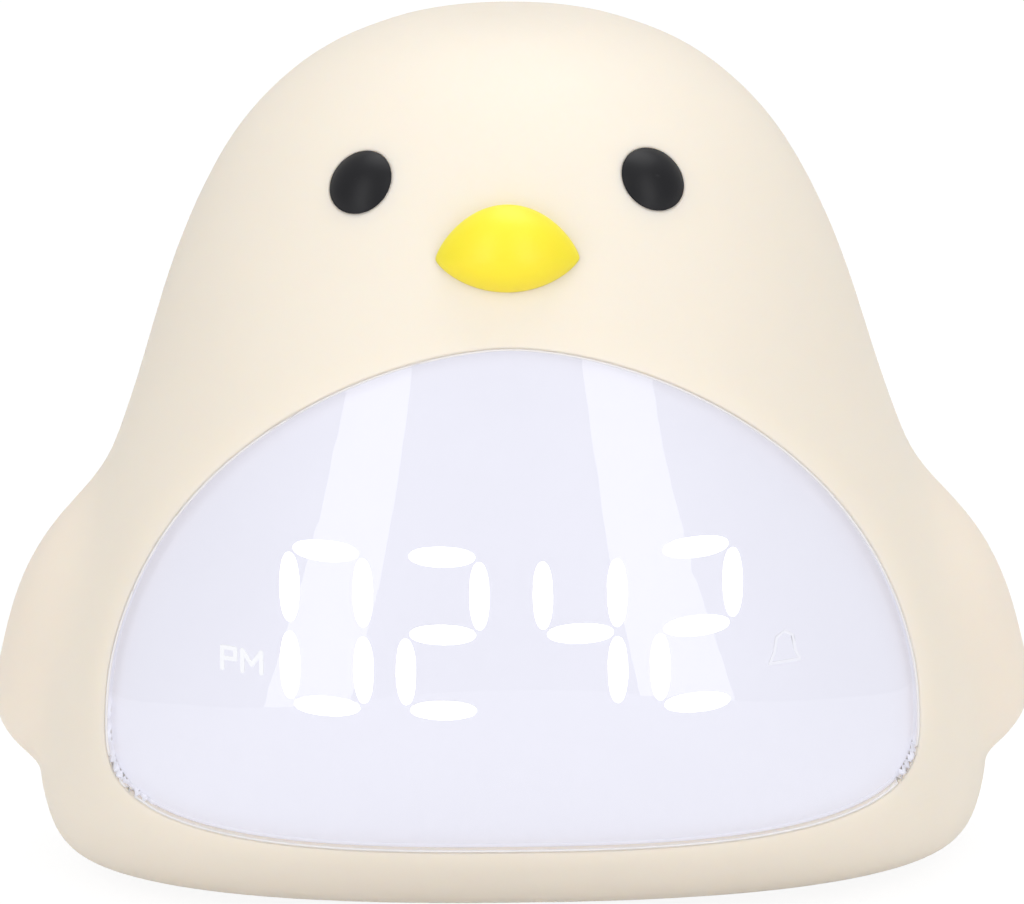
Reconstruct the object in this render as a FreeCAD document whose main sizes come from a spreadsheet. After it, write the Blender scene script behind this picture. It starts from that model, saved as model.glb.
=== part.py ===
import FreeCAD, Part
import math
import os
import Sketcher

# A bird-shaped silicone night light with a clock display in its belly.
# X runs across the body, -Y is the front, +Z is up and the feet rest on Z = 0.

Vector = FreeCAD.Vector
UP = Vector(0, 0, 1)
BACKWARDS = Vector(0, 1, 0)

document = FreeCAD.newDocument("night_light_clock")
sheet = document.addObject("Spreadsheet::Sheet", "sizes")
nodes = []

SIZES = {
    "body_height": 99.0,
    "floor_gap": 1.2,
    "cover_wall": 2.0,
    "fit_gap": 0.25,
    "shell_wall": 2.0,
    "lens_half_width": 46.0,
    "lens_wide_level": 24.0,
    "lens_rise": 43.5,
    "lens_drop": 12.7,
    "lens_margin": 0.25,
    "lens_recess": 0.15,
    "lens_thickness": 1.6,
    "film_thickness": 0.3,
    "window_gap": 0.3,
    "digit_level": 36.7,
    "digit_pitch": 12.9,
    "digit_middle_gap": 15.2,
    "flat_segment_length": 7.3,
    "flat_segment_width": 2.15,
    "tall_segment_length": 7.25,
    "tall_segment_width": 2.2,
    "segment_spacing": 8.2,
    "digit_height": 16.7,
    "guide_back": -33.4,
    "board_front": -24.6,
    "board_thickness": 1.6,
    "display_board_length": 66.0,
    "display_board_height": 25.0,
    "main_board_front": 25.5,
    "main_board_length": 36.0,
    "main_board_height": 33.0,
    "panel_level": 41.0,
    "panel_half_width": 20.5,
    "panel_half_height": 16.5,
    "panel_thickness": 1.9,
    "key_radius": 3.6,
    "key_flange": 4.2,
    "key_clearance": 0.3,
    "key_travel": 0.6,
    "key_pitch": 11.5,
    "key_row": 48.0,
    "lower_key_row": 37.5,
    "key_stand": 1.0,
    "tact_height": 3.5,
    "port_level": 28.8,
    "port_width": 9.0,
    "port_height": 3.2,
    "switch_level": 37.5,
    "switch_travel": 2.5,
    "base_half_width": 35.0,
    "base_half_depth": 20.0,
    "base_centre": 3.2,
    "base_thickness": 2.0,
    "foot_radius": 4.0,
    "foot_x": 23.0,
    "foot_y": 10.5,
    "battery_radius": 9.2,
    "battery_length": 65.0,
    "battery_level": 23.5,
    "battery_centre": 3.2,
    "speaker_radius": 14.0,
    "light_board_radius": 20.0,
    "light_board_level": 66.0,
    "eye_radius": 3.85,
    "eye_rise": 1.3,
    "eye_depth": 1.5,
    "eye_x": 16.4,
    "eye_level": 84.2,
    "beak_half_width": 8.0,
    "beak_rise": 5.9,
    "beak_drop": 3.7,
    "beak_level": 76.9,
    "beak_depth": 4.6,
    "screw_radius": 1.0,
    "screw_head": 1.9,
    "base_screw_x": 30.5,
    "base_screw_y": 7.0,
    "post_radius": 3.0,
    "post_length": 7.8,
    "web_length": 9.0,
    "web_thickness": 2.4,
}

for row, (alias, size) in enumerate(SIZES.items(), start=1):
    sheet.set("A%d" % row, alias)
    sheet.set("B%d" % row, str(size))
    sheet.setAlias("B%d" % row, alias)
document.recompute()


def size_of(alias):
    return float(sheet.get(alias))


def bind(thing, links):
    for name, formula in links.items():
        thing.setExpression(name, formula)
    return thing


def keep(thing, name):
    thing.Label = name
    nodes.append(thing)
    return thing


def add_shape(name, shape):
    thing = document.addObject("Part::Feature", name)
    thing.Shape = shape
    return thing


def add_cut(name, base, tool):
    thing = document.addObject("Part::Cut", name)
    thing.Base = base
    thing.Tool = tool
    return thing


def add_box(name, length, width, height, corner):
    thing = document.addObject("Part::Box", name)
    bind(thing, {"Length": length, "Width": width, "Height": height})
    bind(thing, dict(zip(("Placement.Base.x", "Placement.Base.y", "Placement.Base.z"), corner)))
    return thing


def add_cylinder(name, radius, length, base, axis=UP):
    thing = document.addObject("Part::Cylinder", name)
    thing.Placement = FreeCAD.Placement(Vector(), FreeCAD.Rotation(UP, axis))
    bind(thing, {"Radius": radius, "Height": length})
    bind(thing, dict(zip(("Placement.Base.x", "Placement.Base.y", "Placement.Base.z"), base)))
    return thing


# The body's profile: stations from the underside's rim up to the crown. Each
# station holds the half width, the depth to the front, the depth to the back
# and the exponent of the rounded section there.
STATION_LEVELS = [1.2, 1.2, 1.5, 6.0, 15.0, 28.0, 42.0, 56.0, 69.0, 81.0, 91.0]
STATION_HALF_WIDTHS = [40.5, 48.7, 52.6, 54.9, 56.0, 53.5, 48.5, 43.0, 39.5, 34.3, 27.5, 15.0, 0.0]
STATION_FRONTS = [20.0, 27.0, 33.0, 40.0, 46.5, 48.5, 46.0, 42.0, 38.0, 33.0, 27.0, 15.0, 0.0]
STATION_BACKS = [27.0, 33.0, 37.0, 40.0, 42.5, 43.5, 42.0, 39.5, 37.0, 33.0, 27.5, 15.0, 0.0]
STATION_EXPONENTS = [2.4, 2.4, 2.4, 2.4, 2.35, 2.25, 2.15, 2.1, 2.05, 2.0, 2.0, 2.0, 2.0]
PROFILE_ROWS = 44
ROUND_COLUMNS = 72

# A wing is a rounded lobe on the body's side, leaning in at its top and blunt at its
# lower end, where it stands off the body with a crisp notch.
WING_CENTRE = Vector(50.0, 1.0, 25.0)
WING_HALF_WIDTH = 9.4
WING_HALF_DEPTH = 15.0
WING_RISE = 18.0
WING_DROP = 14.5
WING_DROP_EXPONENT = 5.0
WING_LEAN = math.radians(14.0)
WING_EDGE_LEVEL = 11.2
LOW_BLEND = 0.6
HIGH_BLEND = 5.0
BLEND_START = 14.0
BLEND_END = 32.0
CLOSE_ROW_STEP = 0.008
CLOSE_ROWS = 7


def profile_curve(poles):
    spans = len(poles) - 3
    curve = Part.BSplineCurve()
    ends = [4] + [1] * (spans - 1) + [4]
    knots = [float(number) / spans for number in range(spans + 1)]
    curve.buildFromPolesMultsKnots(poles, ends, knots, False, 3)
    return curve


def body_profiles():
    levels = STATION_LEVELS + [size_of("body_height")] * 2
    widths = profile_curve([Vector(*p) for p in zip(STATION_HALF_WIDTHS, STATION_FRONTS, levels)])
    depths = profile_curve([Vector(*p) for p in zip(STATION_BACKS, STATION_EXPONENTS, levels)])
    return widths, depths


WIDTH_CURVE, DEPTH_CURVE = body_profiles()


def section_at(place):
    """Half width, front, back, exponent and level at a place from 0 (base) to 1 (crown)."""
    first = WIDTH_CURVE.value(place)
    second = DEPTH_CURVE.value(place)
    return first.x, first.y, second.x, second.y, first.z


def section_point(place, turn):
    """Point of the body, without wings, at an angle around the upright axis."""
    half_width, front, back, exponent, level = section_at(place)
    if half_width < 1e-6:
        return Vector(0, 0, level)
    across = math.cos(turn)
    along = math.sin(turn)
    depth = front if along < 0 else back
    spread = abs(across / half_width) ** exponent + abs(along / depth) ** exponent
    radius = spread ** (-1.0 / exponent)
    return Vector(radius * across, radius * along, level)


def inset_point(place, turn, inset):
    """Point of the body moved inwards, square to its surface."""
    step = 0.002
    low = max(place - step, 0.0)
    high = min(place + step, 0.998)
    rise = section_point(high, turn) - section_point(low, turn)
    round_step = section_point(place, turn + step) - section_point(place, turn - step)
    if place > 0.998:
        return Vector(0, 0, size_of("body_height") - inset)
    outwards = round_step.cross(rise)
    outwards.normalize()
    return section_point(place, turn) - outwards * inset


def place_at(level):
    """Place from 0 (base) to 1 (crown) at which the body has a given level."""
    low = 0.05
    high = 0.97
    for _ in range(40):
        middle = (low + high) / 2
        if section_at(middle)[4] < level:
            low = middle
        else:
            high = middle
    return low


def profile_places():
    """Places of the surface's rows: even, with closer rows at the wing's lower edge."""
    edge = place_at(WING_EDGE_LEVEL)
    reach = CLOSE_ROW_STEP * (CLOSE_ROWS - 1) / 2
    even = [row / float(PROFILE_ROWS - 1) for row in range(PROFILE_ROWS)]
    close = [edge - reach + CLOSE_ROW_STEP * row for row in range(CLOSE_ROWS)]
    return sorted([place for place in even if abs(place - edge) > reach + CLOSE_ROW_STEP / 2] + close)


def wing_distance(point):
    """Rough distance from a point to the wing's lobe, negative inside it."""
    across = abs(point.x) - WING_CENTRE.x
    up = point.z - WING_CENTRE.z
    lean_x = across * math.cos(WING_LEAN) + up * math.sin(WING_LEAN)
    lean_z = up * math.cos(WING_LEAN) - across * math.sin(WING_LEAN)
    half_height, power = (WING_RISE, 2.0) if lean_z > 0 else (WING_DROP, WING_DROP_EXPONENT)
    x = lean_x / WING_HALF_WIDTH
    y = (point.y - WING_CENTRE.y) / WING_HALF_DEPTH
    z = abs(lean_z) / half_height
    excess = x ** 2 + y ** 2 + z ** power - 1.0
    slope = Vector(2 * x / WING_HALF_WIDTH, 2 * y / WING_HALF_DEPTH, power * z ** (power - 1) / half_height)
    return excess / max(slope.Length, 1e-6)


def winged_point(place, turn):
    """Point of the body where body and wing flow softly into each other."""
    bare = section_point(place, turn)
    reach = math.hypot(bare.x, bare.y)
    if reach < 30.0:
        return bare
    share = min(max((bare.z - BLEND_START) / (BLEND_END - BLEND_START), 0.0), 1.0)
    blend = LOW_BLEND + (HIGH_BLEND - LOW_BLEND) * share
    low = reach * 0.98
    high = reach + 14.0
    for _ in range(30):
        middle = (low + high) / 2
        point = Vector(math.cos(turn) * middle, math.sin(turn) * middle, bare.z)
        body_gap = middle - reach
        wing_gap = wing_distance(point)
        mix = min(max(0.5 + 0.5 * (body_gap - wing_gap) / blend, 0.0), 1.0)
        gap = body_gap * (1 - mix) + wing_gap * mix - blend * mix * (1 - mix)
        if gap < 0:
            low = middle
        else:
            high = middle
    return Vector(math.cos(turn) * low, math.sin(turn) * low, bare.z)


def body_solid(inset, wings):
    """Closed solid of the whole body, moved inwards by the inset."""
    poles = []
    places = profile_places()
    for column in range(ROUND_COLUMNS):
        turn = 2 * math.pi * column / ROUND_COLUMNS
        line = []
        for place in places:
            if wings:
                line.append(winged_point(place, turn))
            else:
                line.append(inset_point(place, turn, inset))
        line[-2].z = line[-1].z
        poles.append(line)
    round_knots = [float(number) for number in range(ROUND_COLUMNS + 1)]
    spans = len(places) - 3
    up_knots = [float(number) for number in range(spans + 1)]
    surface = Part.BSplineSurface()
    surface.buildFromPolesMultsKnots(
        poles, [1] * (ROUND_COLUMNS + 1), [4] + [1] * (spans - 1) + [4],
        round_knots, up_knots, True, False, 3, 3)
    skin = surface.toShape()
    level = poles[0][0].z
    rim = [edge for edge in skin.Edges if edge.BoundBox.ZMax < level + 0.01]
    floor = Part.Face(Part.Wire(rim))
    sewn = Part.Compound([skin, floor])
    sewn.sewShape()
    return Part.Solid(sewn.Shells[0])


def patch_prism(inset, side, lowest=0.1, highest=0.78, reach=70.0):
    """Solid behind a patch of the body's front (side -1) or back (side 1), moved inwards."""
    middle = side * math.pi / 2
    columns = 17
    rows = 17
    grid = []
    for column in range(columns):
        turn = middle + math.radians(reach) * (2.0 * column / (columns - 1) - 1.0)
        line = []
        for row in range(rows):
            place = lowest + (highest - lowest) * row / (rows - 1)
            line.append(inset_point(place, turn, inset))
        grid.append(line)
    surface = Part.BSplineSurface()
    surface.interpolate(grid)
    solid = surface.toShape().extrude(Vector(0, -side * 60.0, 0))
    if solid.Volume < 0:
        solid.reverse()
    return solid


def oval_wire(half_width, rise, drop, centre, exponents, inset=0.0, count=48):
    """Closed outline in an upright plane: its upper and lower halves have their own exponents."""
    points = []
    for number in range(count):
        turn = 2 * math.pi * number / count
        across = math.cos(turn)
        up = math.sin(turn)
        height = rise if up > 0 else drop
        power = 2.0 / (exponents[0] if up > 0 else exponents[1])
        x = (half_width - inset) * math.copysign(abs(across) ** power, across)
        z = (height - inset) * math.copysign(abs(up) ** power, up)
        points.append(Vector(centre.x + x, centre.y, centre.z + z))
    curve = Part.BSplineCurve()
    curve.interpolate(Points=points, PeriodicFlag=True)
    return Part.Wire(curve.toShape())


def prism_of(wire, length):
    return Part.Face(wire).extrude(BACKWARDS * length)


def lens_outline(inset, front, length):
    centre = Vector(0, front, size_of("lens_wide_level"))
    wire = oval_wire(size_of("lens_half_width"), size_of("lens_rise"), size_of("lens_drop"),
                     centre, (1.8, 4.0), inset)
    return prism_of(wire, length)


def panel_outline(inset, front, length):
    centre = Vector(0, front, size_of("panel_level"))
    height = size_of("panel_half_height")
    wire = oval_wire(size_of("panel_half_width"), height, height, centre, (3.2, 3.2), inset)
    return prism_of(wire, length)


def base_outline(inset, bottom, length):
    centre = Vector(0, size_of("base_centre"), bottom)
    ring = Part.Ellipse(centre, size_of("base_half_width") - inset, size_of("base_half_depth") - inset)
    return Part.Face(Part.Wire(ring.toShape())).extrude(UP * length)


def build_cover():
    outer = add_shape("cover_outside", body_solid(0.0, True))
    hollow = add_shape("cover_hollow", body_solid(size_of("cover_wall"), False))
    wall = add_cut("cover_wall_form", outer, hollow)
    gap = size_of("window_gap")
    seat_gap = 0.06
    openings = add_shape("cover_openings", Part.makeCompound([
        lens_outline(0.0, -60.0, 50.0),
        panel_outline(-gap, 20.0, 40.0),
        base_outline(-gap, 0.0, 8.0),
        eye_shape(-1, seat_gap),
        eye_shape(1, seat_gap),
    ]))
    keep(add_cut("silicone_cover_form", wall, openings), "silicone_cover")


def boss_places():
    """Screw posts that join the two shells, as x and level."""
    return [(-43.5, 31.0), (43.5, 31.0), (-30.0, 70.0), (30.0, 70.0)]


def base_screw_places(sides=(-1, 1)):
    """Centres of the base plate's screws, on the plane that the feet rest on."""
    reach = size_of("base_screw_x")
    centre = size_of("base_centre")
    return [Vector(x, centre + side * size_of("base_screw_y"), 0.0)
            for x in (-reach, reach) for side in sides]


def shell_bosses(side):
    """Posts with webs for the joining screws, and low posts for the base plate's screws."""
    solids = []
    length = size_of("post_length")
    web_length = size_of("web_length")
    web_thickness = size_of("web_thickness")
    seam = 0.2
    for x, level in boss_places():
        start = Vector(x, seam if side > 0 else -seam - length, level)
        solids.append(Part.makeCylinder(size_of("post_radius"), length, start, BACKWARDS))
        corner = Vector(x if x > 0 else x - web_length, start.y, level - web_thickness / 2)
        solids.append(Part.makeBox(web_length, length, web_thickness, corner))
    for place in base_screw_places((side,)):
        place.z = 4.0
        solids.append(Part.makeCylinder(size_of("post_radius") - 0.2, 6.0, place, UP))
    return solids


def shell_holes(side):
    """Clear holes for the joining screws in the rear shell, and tight ones elsewhere."""
    solids = []
    tight = size_of("screw_radius") - 0.05
    clear = size_of("screw_radius") + 0.2
    for x, level in boss_places():
        start = Vector(x, 0 if side > 0 else -7.4, level)
        solids.append(Part.makeCylinder(clear if side > 0 else tight, 9.0, start, BACKWARDS))
    for place in base_screw_places((side,)):
        place.z = 3.0
        solids.append(Part.makeCylinder(tight, 7.0, place, UP))
    return solids


def build_shells():
    outset = size_of("cover_wall") + size_of("fit_gap")
    outer = body_solid(outset, False)
    inner = body_solid(outset + size_of("shell_wall"), False)
    hollow = outer.cut(inner)
    floor_hole = base_outline(4.5, 2.0, 6.0)
    lens_hole = lens_outline(4.0, -60.0, 50.0)
    panel_hole = panel_outline(1.0, 20.0, 40.0)
    for name, side in (("front_shell", -1), ("rear_shell", 1)):
        half = Part.makeBox(140, 70, 120, Vector(-70, 0.1 if side > 0 else -70.1, -5))
        posts = Part.makeCompound(shell_bosses(side)).common(outer)
        body = hollow.common(half).fuse(posts.Solids)
        tools = [lens_hole if side < 0 else panel_hole, floor_hole] + shell_holes(side)
        shell = add_shape(name, body.cut(tools))
        keep(shell, name)


def digit_centres():
    inner = size_of("digit_middle_gap") / 2
    outer = inner + size_of("digit_pitch")
    return [-outer, -inner, inner, outer]


SEGMENT_PLACES = {
    "a": (0, 1, "flat"), "g": (0, 0, "flat"), "d": (0, -1, "flat"),
    "b": (1, 0.5, "tall"), "c": (1, -0.5, "tall"),
    "e": (-1, -0.5, "tall"), "f": (-1, 0.5, "tall"),
}
SHOWN_SEGMENTS = ["abcdef", "abged", "fgbc", "abged"]
DIGIT_NAMES = ["hour_tens_digit", "hour_ones_digit", "minute_tens_digit", "minute_ones_digit"]


def segment_prism(centre_x, letter, grow, front, length):
    side, up, form = SEGMENT_PLACES[letter]
    x = centre_x + side * size_of("segment_spacing") / 2
    z = size_of("digit_level") + up * size_of("digit_height") / 2
    across, upright = "flat_segment_length", "flat_segment_width"
    if form == "tall":
        across, upright = "tall_segment_width", "tall_segment_length"
    half_across = size_of(across) / 2 + grow
    half_up = size_of(upright) / 2 + grow
    wire = oval_wire(half_across, half_up, half_up, Vector(x, front, z), (2.2, 2.2), 0.0, 24)
    return prism_of(wire, length)


def bar_prism(start, end, width, front, length):
    """A round-ended stroke from one point to another, both given as (x, z)."""
    run = Vector(end[0] - start[0], 0, end[1] - start[1])
    side = Vector(-run.z, 0, run.x)
    side.normalize()
    side = side * (width / 2)
    forward = Vector(run)
    forward.normalize()
    forward = forward * (width / 2)
    first = Vector(start[0], front, start[1])
    last = Vector(end[0], front, end[1])
    edges = [
        Part.LineSegment(first + side, last + side).toShape(),
        Part.Arc(last + side, last + forward, last - side).toShape(),
        Part.LineSegment(last - side, first - side).toShape(),
        Part.Arc(first - side, first - forward, first + side).toShape(),
    ]
    return prism_of(Part.Wire(edges), length)


def letter_strokes():
    """Strokes of the two small half-day letters as (x, z) pairs."""
    left = -32.3
    width = 1.5
    low = 31.25
    high = 33.5
    middle = (low + high) / 2
    second = left + 2.3
    wide = 2.15
    return [
        ((left, low), (left, high)), ((left, high), (left + width, high)),
        ((left + width, high), (left + width, middle)), ((left + width, middle), (left, middle)),
        ((second, low), (second, high)), ((second, high), (second + wide / 2, middle - 0.3)),
        ((second + wide / 2, middle - 0.3), (second + wide, high)),
        ((second + wide, high), (second + wide, low)),
    ]


def bell_strokes():
    """Strokes of a small alarm bell outline as (x, z) pairs."""
    x = 30.4
    low = 31.6
    high = 34.8
    return [
        ((x - 1.7, low), (x + 1.7, low)), ((x - 1.7, low), (x - 1.2, low + 1.1)),
        ((x - 1.2, low + 1.1), (x - 0.9, high - 0.5)), ((x - 0.9, high - 0.5), (x, high)),
        ((x, high), (x + 0.9, high - 0.5)), ((x + 0.9, high - 0.5), (x + 1.2, low + 1.1)),
        ((x + 1.2, low + 1.1), (x + 1.7, low)),
    ]


def stroke_solid(strokes, width, grow, front, length):
    bars = [bar_prism(start, end, width + 2 * grow, front, length) for start, end in strokes]
    return bars[0].multiFuse(bars[1:]).removeSplitter()


def colon_prisms(grow, front, length):
    radius = size_of("tall_segment_width") / 2 + grow
    level = size_of("digit_level")
    offset = size_of("digit_height") / 4
    return [Part.makeCylinder(radius, length, Vector(0, front, level + side * offset), BACKWARDS)
            for side in (-1, 1)]


def build_display():
    """Lens, film, lit guides that come through the film, and unlit ones that end behind it."""
    recess = size_of("lens_recess")
    lens_back = recess + size_of("lens_thickness")
    film_front = lens_back + 0.02
    film_back = film_front + size_of("film_thickness")
    block_front = film_back + 0.05
    insets = (recess, lens_back, film_front, film_back, block_front)
    front_of = {inset: patch_prism(inset, -1) for inset in insets}
    margin = size_of("lens_margin")
    lens = front_of[recess].common(lens_outline(margin, -60.0, 50.0)).cut(front_of[lens_back])
    keep(add_shape("display_lens", lens), "display_lens")
    guide_front = -60.0
    guide_length = size_of("guide_back") - guide_front
    well_gap = 0.04
    letter_width = 0.42
    bell_width = 0.3
    groups = {name: [] for name in DIGIT_NAMES}
    unlit = []
    lit_wells = []
    unlit_wells = colon_prisms(well_gap, guide_front, 60.0)
    for name, centre, shown in zip(DIGIT_NAMES, digit_centres(), SHOWN_SEGMENTS):
        for letter in SEGMENT_PLACES:
            prism = segment_prism(centre, letter, 0.0, guide_front, guide_length)
            well = segment_prism(centre, letter, well_gap, guide_front, 60.0)
            (groups[name] if letter in shown else unlit).append(prism)
            (lit_wells if letter in shown else unlit_wells).append(well)
    for name, strokes, width in (("half_day_letters", letter_strokes(), letter_width),
                                 ("bell_sign", bell_strokes(), bell_width)):
        groups[name] = stroke_solid(strokes, width, 0.0, guide_front, guide_length).Solids
        lit_wells += stroke_solid(strokes, width, well_gap, guide_front, 60.0).Solids
    for name, prisms in groups.items():
        guides = Part.makeCompound(prisms).common(front_of[film_front])
        keep(add_shape(name, guides), name)
    unlit_groups = {"dark_segments": unlit, "colon_dots": colon_prisms(0.0, guide_front, guide_length)}
    for name, prisms in unlit_groups.items():
        guides = Part.makeCompound(prisms).common(front_of[block_front])
        keep(add_shape(name, guides), name)
    film = front_of[film_front].common(lens_outline(margin + 0.3, -60.0, 50.0)).cut(front_of[film_back])
    keep(add_shape("display_film", film.cut(lit_wells)), "display_film")
    board_front = size_of("board_front")
    block_back = board_front - 0.05
    block = Part.makeBox(70.0, 60.0, 23.6, Vector(-35.0, -60.0 + block_back, 25.0))
    block = block.common(lens_outline(4.6, -60.0, 60.0 + block_back)).common(front_of[block_front])
    block = block.cut(lit_wells + unlit_wells).cut(led_boxes(0.3))
    keep(add_shape("segment_reflector", block), "segment_reflector")


def led_boxes(grow):
    """One small light chip behind every segment and sign of the display."""
    leds = []
    front = size_of("board_front")
    for centre in digit_centres():
        for side, up, _ in SEGMENT_PLACES.values():
            x = centre + side * size_of("segment_spacing") / 2
            z = size_of("digit_level") + up * size_of("digit_height") / 2
            leds.append((x, z))
    leds += [(-31.0, 33.0), (30.4, 33.0)]
    width = 1.6 + 2 * grow
    depth = 0.8 + grow
    return [Part.makeBox(width, depth, depth + grow, Vector(x - width / 2, front - depth, z - 0.4 - grow))
            for x, z in leds]


def build_display_board():
    add_plate("display_board", "display_board_length", "display_board_height", "board_thickness")
    keep(add_shape("display_leds", Part.makeCompound(led_boxes(0.0))), "display_leds")


def sketch_on(body, role, name):
    plane = [part for part in body.Origin.OriginFeatures if part.Role == role][0]
    sketch = body.newObject("Sketcher::SketchObject", name)
    sketch.AttachmentSupport = [(plane, "")]
    sketch.MapMode = "FlatFace"
    return sketch


def rectangle_in(sketch, length, height, centre_x=0.0, centre_y=0.0):
    """A centred rectangle whose length and height follow the sheet's cells."""
    half_x = size_of(length) / 2
    half_y = size_of(height) / 2
    signs = ((-1, -1), (1, -1), (1, 1), (-1, 1))
    corners = [Vector(centre_x + across * half_x, centre_y + up * half_y, 0) for across, up in signs]
    for number in range(4):
        sketch.addGeometry(Part.LineSegment(corners[number], corners[(number + 1) % 4]), False)
    for number in range(4):
        sketch.addConstraint(Sketcher.Constraint("Coincident", number, 2, (number + 1) % 4, 1))
    for number, form in enumerate(("Horizontal", "Vertical", "Horizontal", "Vertical")):
        sketch.addConstraint(Sketcher.Constraint(form, number))
    across = sketch.addConstraint(Sketcher.Constraint("DistanceX", 0, 1, 0, 2, half_x * 2))
    upright = sketch.addConstraint(Sketcher.Constraint("DistanceY", 1, 1, 1, 2, half_y * 2))
    sketch.setExpression("Constraints[%d]" % across, "sizes.%s" % length)
    sketch.setExpression("Constraints[%d]" % upright, "sizes.%s" % height)
    corner_x = sketch.addConstraint(Sketcher.Constraint("DistanceX", -1, 1, 0, 1, centre_x - half_x))
    corner_y = sketch.addConstraint(Sketcher.Constraint("DistanceY", -1, 1, 0, 1, centre_y - half_y))
    sketch.setExpression("Constraints[%d]" % corner_x, "-sizes.%s / 2" % length)
    sketch.setExpression("Constraints[%d]" % corner_y, "-sizes.%s / 2" % height)


def add_plate(name, length, height, thickness):
    """An upright circuit board: a padded rectangle with a screw hole near each corner."""
    body = document.addObject("PartDesign::Body", name + "_body")
    sketch = sketch_on(body, "XZ_Plane", name + "_outline")
    rectangle_in(sketch, length, height)
    for side_x in (-1, 1):
        for side_z in (-1, 1):
            centre = Vector(side_x * (size_of(length) / 2 - 2.4), side_z * (size_of(height) / 2 - 2.4), 0)
            circle = sketch.addGeometry(Part.Circle(centre, UP, 1.1), False)
            sketch.addConstraint(Sketcher.Constraint("Radius", circle, 1.1))
    pad = body.newObject("PartDesign::Pad", name + "_pad")
    pad.Profile = sketch
    pad.Length = size_of(thickness)
    pad.setExpression("Length", "sizes.%s" % thickness)
    return keep(body, name)


def place_boards():
    """Put the two upright boards at their places: the pad runs towards the front from its plane."""
    display = document.getObject("display_board_body")
    bind(display, {"Placement.Base.y": "sizes.board_front + sizes.board_thickness",
                   "Placement.Base.z": "sizes.digit_level"})
    main = document.getObject("main_board_body")
    bind(main, {"Placement.Base.y": "sizes.main_board_front + sizes.board_thickness",
                "Placement.Base.z": "sizes.panel_level"})


KEYS = [("up_key", -1, "key_row"), ("set_key", 0, "key_row"), ("down_key", 1, "key_row"),
        ("alarm_key", -1, "lower_key_row"), ("light_key", 0, "lower_key_row")]


def back_of_body(x, level):
    """Y of the body's back surface at a given x and level."""
    half_width, _, back, exponent, _ = section_at(place_at(level))
    return back * (1 - abs(x / half_width) ** exponent) ** (1 / exponent)


def build_rear_panel():
    behind = 0.3
    plate = patch_prism(behind, 1).common(panel_outline(0.0, 20.0, 40.0))
    plate = plate.cut(patch_prism(behind + size_of("panel_thickness"), 1))
    holes = []
    for _, side, level in KEYS:
        radius = size_of("key_radius") + size_of("key_clearance")
        start = Vector(side * size_of("key_pitch"), 25.0, size_of(level))
        holes.append(Part.makeCylinder(radius, 30.0, start, BACKWARDS))
    port_reach = (size_of("port_width") - size_of("port_height")) / 2
    holes.append(bar_prism((-port_reach, size_of("port_level")), (port_reach, size_of("port_level")),
                           size_of("port_height") + 0.4, 25.0, 30.0))
    slot = size_of("switch_travel") / 2 + 1.1
    centre = size_of("key_pitch")
    level = size_of("switch_level")
    holes.append(bar_prism((centre - slot, level), (centre + slot, level), 2.6, 25.0, 30.0))
    keep(add_shape("rear_panel", plate.cut(holes)), "rear_panel")


def build_keys():
    """Each key is a capped round button with a flange behind the panel and a stem to its contact."""
    board_back = size_of("main_board_front") + size_of("board_thickness")
    stem_start = board_back + size_of("tact_height") + size_of("key_travel") + 0.15
    behind = 0.3
    play = 0.4
    flange_thickness = 0.8
    for name, side, level in KEYS:
        x = side * size_of("key_pitch")
        front = back_of_body(x, size_of(level)) + size_of("key_stand")
        height = size_of(level)
        corner_reach = size_of("key_flange") + 0.2
        skin = back_of_body(abs(x) + corner_reach, height + corner_reach)
        flange_top = skin - behind - size_of("panel_thickness") - play
        flange_start = flange_top - flange_thickness
        cap_start = Vector(x, (flange_start + flange_top) / 2, height)
        cap = Part.makeCylinder(size_of("key_radius"), front - cap_start.y, cap_start, BACKWARDS)
        edges = [edge for edge in cap.Edges if edge.BoundBox.YMin > front - 0.01]
        cap = cap.makeFillet(0.5, edges)
        flange_place = Vector(x, flange_start, height)
        flange = Part.makeCylinder(size_of("key_flange"), flange_thickness, flange_place, BACKWARDS)
        solid = cap.fuse(flange)
        if flange_start > stem_start + 0.1:
            stem = Part.makeCylinder(1.5, flange_top - stem_start, Vector(x, stem_start, height), BACKWARDS)
            solid = solid.fuse(stem)
        keep(add_shape(name, solid.removeSplitter()), name)


def build_main_board():
    add_plate("main_board", "main_board_length", "main_board_height", "board_thickness")
    back = size_of("main_board_front") + size_of("board_thickness")
    case_side = 4.5
    case_depth = 2.4
    switches = []
    for _, side, level in KEYS:
        x = side * size_of("key_pitch")
        z = size_of(level)
        corner = Vector(x - case_side / 2, back, z - case_side / 2)
        case = Part.makeBox(case_side, case_depth, case_side, corner)
        stem_start = Vector(x, back + case_depth - 0.1, z)
        stem_length = back + size_of("tact_height") - stem_start.y
        stem = Part.makeCylinder(1.2, stem_length, stem_start, BACKWARDS)
        switches.append(case.fuse(stem))
    keep(add_shape("tact_switches", Part.makeCompound(switches)), "tact_switches")
    front = size_of("main_board_front")
    chips = [Part.makeBox(9.0, 1.5, 9.0, Vector(-12.0, front - 1.5, 44.0)),
             Part.makeBox(5.0, 1.3, 6.2, Vector(4.0, front - 1.3, 46.0)),
             Part.makeBox(5.0, 1.5, 4.0, Vector(5.0, front - 1.5, 33.0)),
             Part.makeBox(3.2, 2.6, 2.5, Vector(-9.0, front - 2.6, 33.0)),
             Part.makeCylinder(1.5, 6.0, Vector(-1.0, front - 1.6, 33.5), UP)]
    keep(add_shape("board_chips", Part.makeCompound(chips)), "board_chips")


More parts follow.
